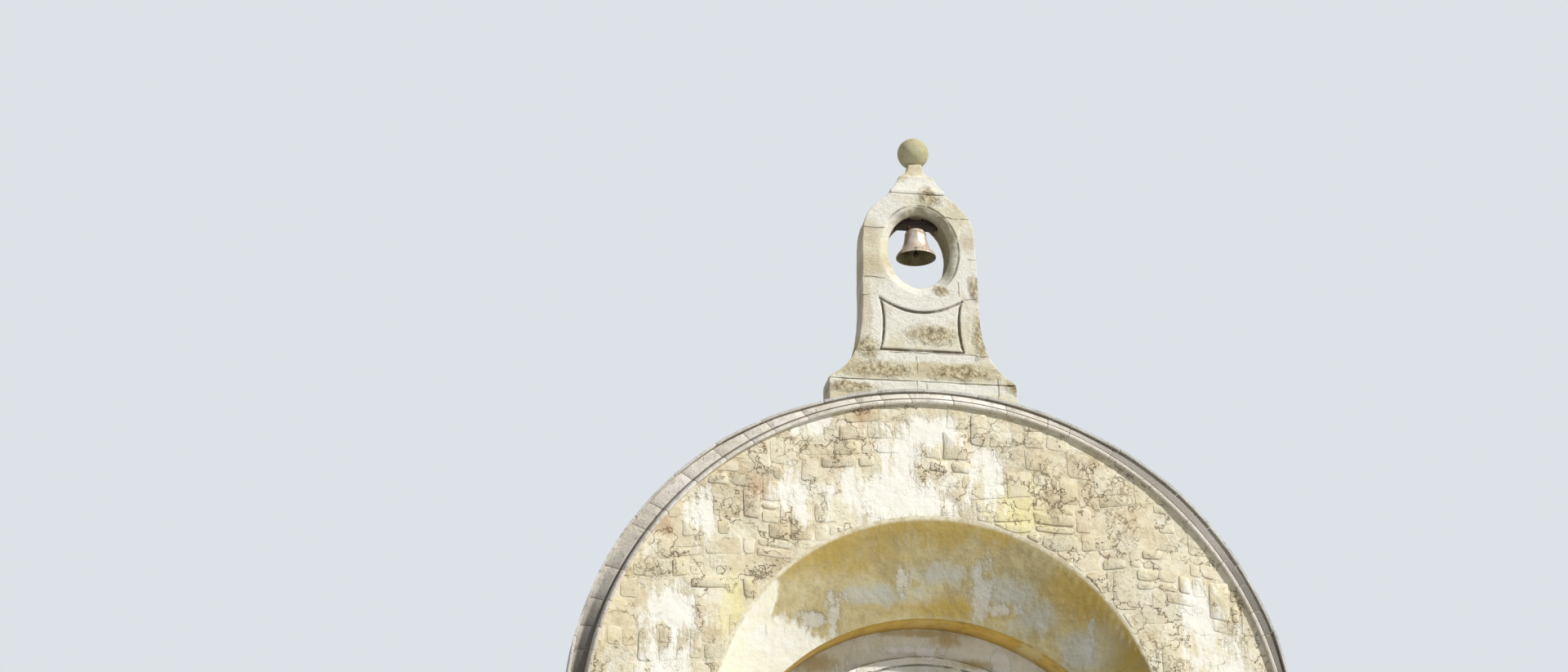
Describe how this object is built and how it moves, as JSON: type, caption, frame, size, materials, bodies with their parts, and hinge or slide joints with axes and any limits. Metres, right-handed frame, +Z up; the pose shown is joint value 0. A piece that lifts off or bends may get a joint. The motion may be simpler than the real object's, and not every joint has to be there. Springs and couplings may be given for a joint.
{
  "type": "small chapel",
  "caption": "Small rubble stone chapel with a round gable, a deep splayed arch recess, a barrel roof and a bellcote with a ball finial and a bronze bell.",
  "frame": {"origin": "on the ground, in the middle of the building", "axes": "+Z up, the front faces -Y, +X to the right of someone who faces the front from outside"},
  "size_m": [6.304, 7.08, 9.1819],
  "materials": {
    "wall_stone": "rough rubble with lime mortar",
    "coping_stone": "dressed limestone, weathered",
    "bellcote_stone": "weathered ochre sandstone",
    "lime_plaster": "matt lime plaster",
    "ochre_plaster": "matt ochre plaster",
    "roof_stone": "weathered stone slabs",
    "floor_stone": "worn stone",
    "old_wood": "dark weathered timber",
    "door_wood": "oiled planks",
    "iron": "dark, slightly rusted",
    "bronze": "dull aged bronze"
  },
  "bodies": {
    "building": {"front_wall": "wall_stone", "portal_wall": "wall_stone", "side_wall_left": "wall_stone", "side_wall_right": "wall_stone", "rear_wall": "wall_stone", "front_coping": "coping_stone", "rear_coping": "coping_stone", "front_cap_slab": "coping_stone", "rear_cap_slab": "coping_stone", "eaves_left": "coping_stone", "eaves_right": "coping_stone", "vault": "roof_stone", "roof_skin": "roof_stone", "floor_slab": "floor_stone", "door_sill": "floor_stone", "recess_splay": "lime_plaster", "recess_back_wall": "lime_plaster", "arch_band": "lime_plaster", "inner_arch": "ochre_plaster", "plinth_stone": "bellcote_stone", "bellcote_body": "bellcote_stone", "neck_stone": "bellcote_stone", "ball_finial": "bellcote_stone", "door_frame_left": "bellcote_stone", "door_frame_right": "bellcote_stone", "door_lintel": "bellcote_stone", "door_leaf_left": "door_wood", "door_leaf_right": "door_wood", "door_ring": "iron", "bearing_left": "iron", "bearing_right": "iron"},
    "bell_unit": {"headstock": "old_wood", "headstock_pins": "iron", "headstock_straps": "iron", "bell": "bronze", "clapper_staple": "iron"},
    "clapper_unit": {"clapper": "iron"}
  },
  "joints": [
    {"name": "bell_swing", "type": "hinge", "parent": "building", "child": "bell_unit", "pos_m": [-0.05, -3.247, 8.319], "axis": [1, 0, 0], "range_deg": [-45, 45]},
    {"name": "clapper_swing", "type": "hinge", "parent": "bell_unit", "child": "clapper_unit", "pos_m": [-0.05, -3.247, 8.2208], "axis": [1, 0, 0], "range_deg": [-20, 20]}
  ]
}
